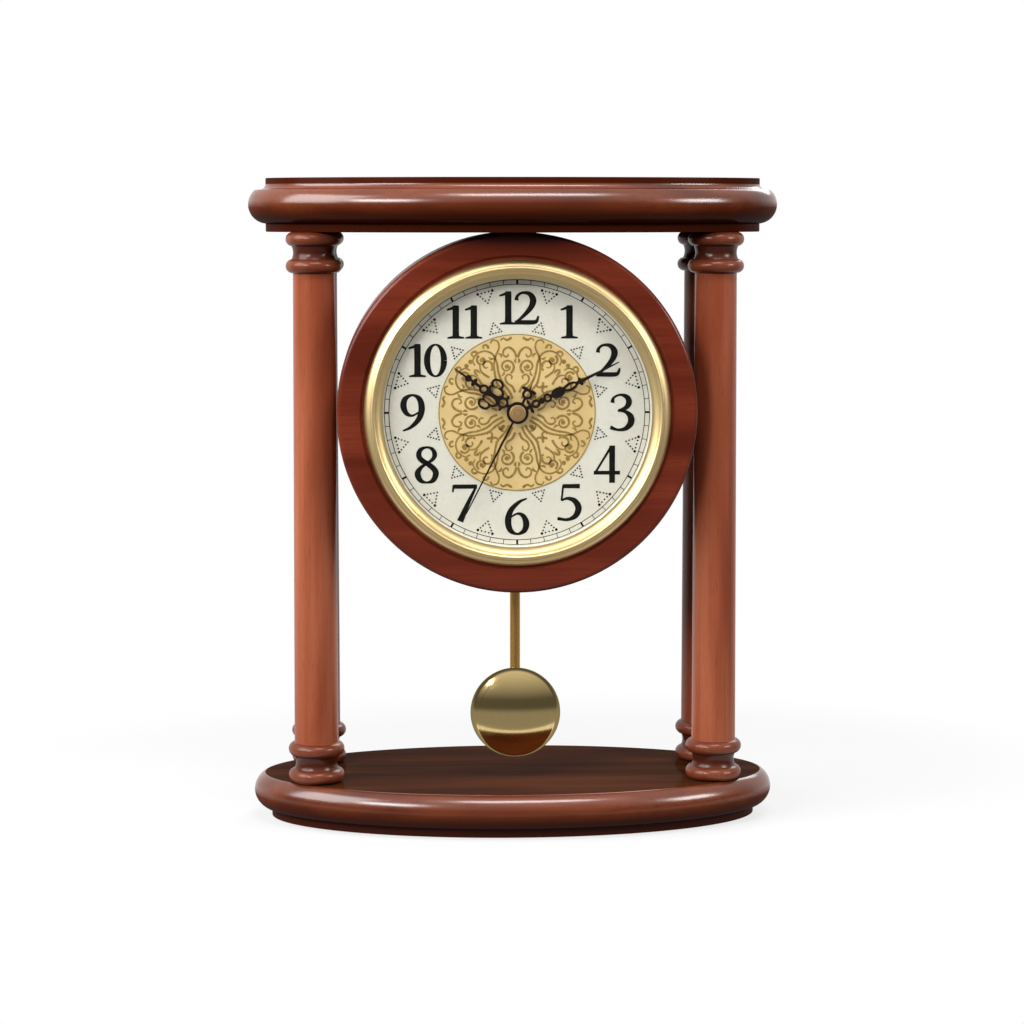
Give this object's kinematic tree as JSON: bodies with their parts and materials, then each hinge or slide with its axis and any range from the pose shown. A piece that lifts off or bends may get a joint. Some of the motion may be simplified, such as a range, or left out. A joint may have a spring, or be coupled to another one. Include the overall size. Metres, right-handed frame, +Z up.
{
  "type": "desk pendulum clock",
  "caption": "Desk clock with an oval wooden base and top on turned columns, a round brass-rimmed dial under the top and a brass pendulum that swings below it.",
  "frame": {"origin": "middle of the base, on the surface that the felt pads stand on", "axes": "+Z up, +X to the right as the dial is read, +Y to the back; the dial faces -Y"},
  "size_m": [0.2382, 0.1256, 0.29],
  "materials": {
    "mahogany_lacquer": "glossy red-brown lacquer",
    "bezel_brass": "satin lacquered brass",
    "polished_brass": "polished",
    "lens_glass": "clear, polished",
    "dial_silver": "satin silver-white with black print",
    "dial_gold": "satin gold print",
    "hand_black": "black enamel",
    "shell_black": "moulded black plastic",
    "cover_brown": "moulded dark brown plastic",
    "wheel_plastic": "moulded natural acetal",
    "knob_plastic": "moulded plastic",
    "steel": "bright zinc plate",
    "stator_iron": "bare stamped iron",
    "coil_wire": "enamelled copper wire",
    "board_resin": "green board",
    "chip_black": "black blob of resin",
    "battery_jacket": "plain dark jacket",
    "magnet": "sintered magnet",
    "gasket_rubber": "soft black rubber",
    "spacer_plastic": "pale plastic",
    "dowel_beech": "bare beech",
    "felt": "dark felt"
  },
  "bodies": {
    "clock": {"base_plate": "mahogany_lacquer", "top_plate": "mahogany_lacquer", "front_left_column": "mahogany_lacquer", "front_right_column": "mahogany_lacquer", "back_left_column": "mahogany_lacquer", "back_right_column": "mahogany_lacquer", "case_front_ring": "mahogany_lacquer", "case_drum": "mahogany_lacquer", "column_screws": "steel", "column_dowels": "dowel_beech", "felt_pads": "felt", "case_screws": "steel", "bezel": "bezel_brass", "lens": "lens_glass", "dial_spacer_ring": "spacer_plastic", "dial": "dial_silver", "dial_medallion": "dial_gold", "dial_nut": "polished_brass", "dial_gasket": "gasket_rubber", "movement_front_shell": "shell_black", "movement_back_shell": "shell_black", "circuit_board": "board_resin", "timing_chip": "chip_black", "quartz_crystal": "steel", "stepper_stator": "stator_iron", "stepper_coil": "coil_wire", "pendulum_coil": "coil_wire", "battery": "battery_jacket", "contact_positive": "steel", "contact_negative": "steel", "pendulum_pivot_pin": "steel"},
    "rotor": {"rotor_magnet": "magnet", "rotor_pinion": "wheel_plastic"},
    "intermediate": {"intermediate_wheel": "wheel_plastic"},
    "seconds": {"second_wheel": "wheel_plastic", "second_hand": "hand_black", "second_hand_cap": "polished_brass"},
    "third": {"third_wheel": "wheel_plastic"},
    "minutes": {"minute_wheel": "wheel_plastic", "minute_hand": "hand_black"},
    "motion": {"motion_wheel": "wheel_plastic", "setting_knob": "knob_plastic"},
    "hours": {"hour_wheel": "wheel_plastic", "hour_hand": "hand_black"},
    "pendulum": {"pendulum_arm": "shell_black", "pendulum_magnet": "magnet", "pendulum_hook": "steel", "pendulum_rod": "polished_brass", "bob_front": "polished_brass", "bob_back": "polished_brass", "bob_clip": "steel"},
    "cover": {"back_cover": "cover_brown"}
  },
  "joints": [
    {"name": "second_hand_turn", "type": "hinge", "parent": "clock", "child": "seconds", "pos_m": [0, -0.03, 0.187], "axis": [0, 1, 0], "continuous": true},
    {"name": "third_wheel_turn", "type": "hinge", "parent": "clock", "child": "third", "pos_m": [-0.00779, -0.03, 0.1915], "axis": [0, 1, 0], "continuous": true},
    {"name": "minute_hand_turn", "type": "hinge", "parent": "clock", "child": "minutes", "pos_m": [0, -0.03, 0.187], "axis": [0, 1, 0], "continuous": true},
    {"name": "motion_wheel_turn", "type": "hinge", "parent": "clock", "child": "motion", "pos_m": [0, -0.03, 0.196], "axis": [0, 1, 0], "continuous": true},
    {"name": "hour_hand_turn", "type": "hinge", "parent": "clock", "child": "hours", "pos_m": [0, -0.03, 0.187], "axis": [0, 1, 0], "continuous": true},
    {"name": "intermediate_wheel_turn", "type": "hinge", "parent": "clock", "child": "intermediate", "pos_m": [-0.00779, -0.03, 0.1825], "axis": [0, 1, 0], "continuous": true},
    {"name": "rotor_turn", "type": "hinge", "parent": "clock", "child": "rotor", "pos_m": [-0.01654, -0.03, 0.1825], "axis": [0, 1, 0], "continuous": true},
    {"name": "pendulum_swing", "type": "hinge", "parent": "clock", "child": "pendulum", "pos_m": [0, -0.019, 0.184], "axis": [0, 1, 0], "range_deg": [-8, 8]},
    {"name": "back_cover_pull", "type": "slide", "parent": "clock", "child": "cover", "axis": [0, 1, 0], "range_m": [0, 0.06]}
  ],
  "couplings": [
    {"joint": "third_wheel_turn", "follows": "second_hand_turn", "ratio": -0.13333},
    {"joint": "minute_hand_turn", "follows": "second_hand_turn", "ratio": 0.016667},
    {"joint": "motion_wheel_turn", "follows": "second_hand_turn", "ratio": -0.0055556},
    {"joint": "hour_hand_turn", "follows": "second_hand_turn", "ratio": 0.0013889},
    {"joint": "intermediate_wheel_turn", "follows": "second_hand_turn", "ratio": -5},
    {"joint": "rotor_turn", "follows": "second_hand_turn", "ratio": 30}
  ]
}
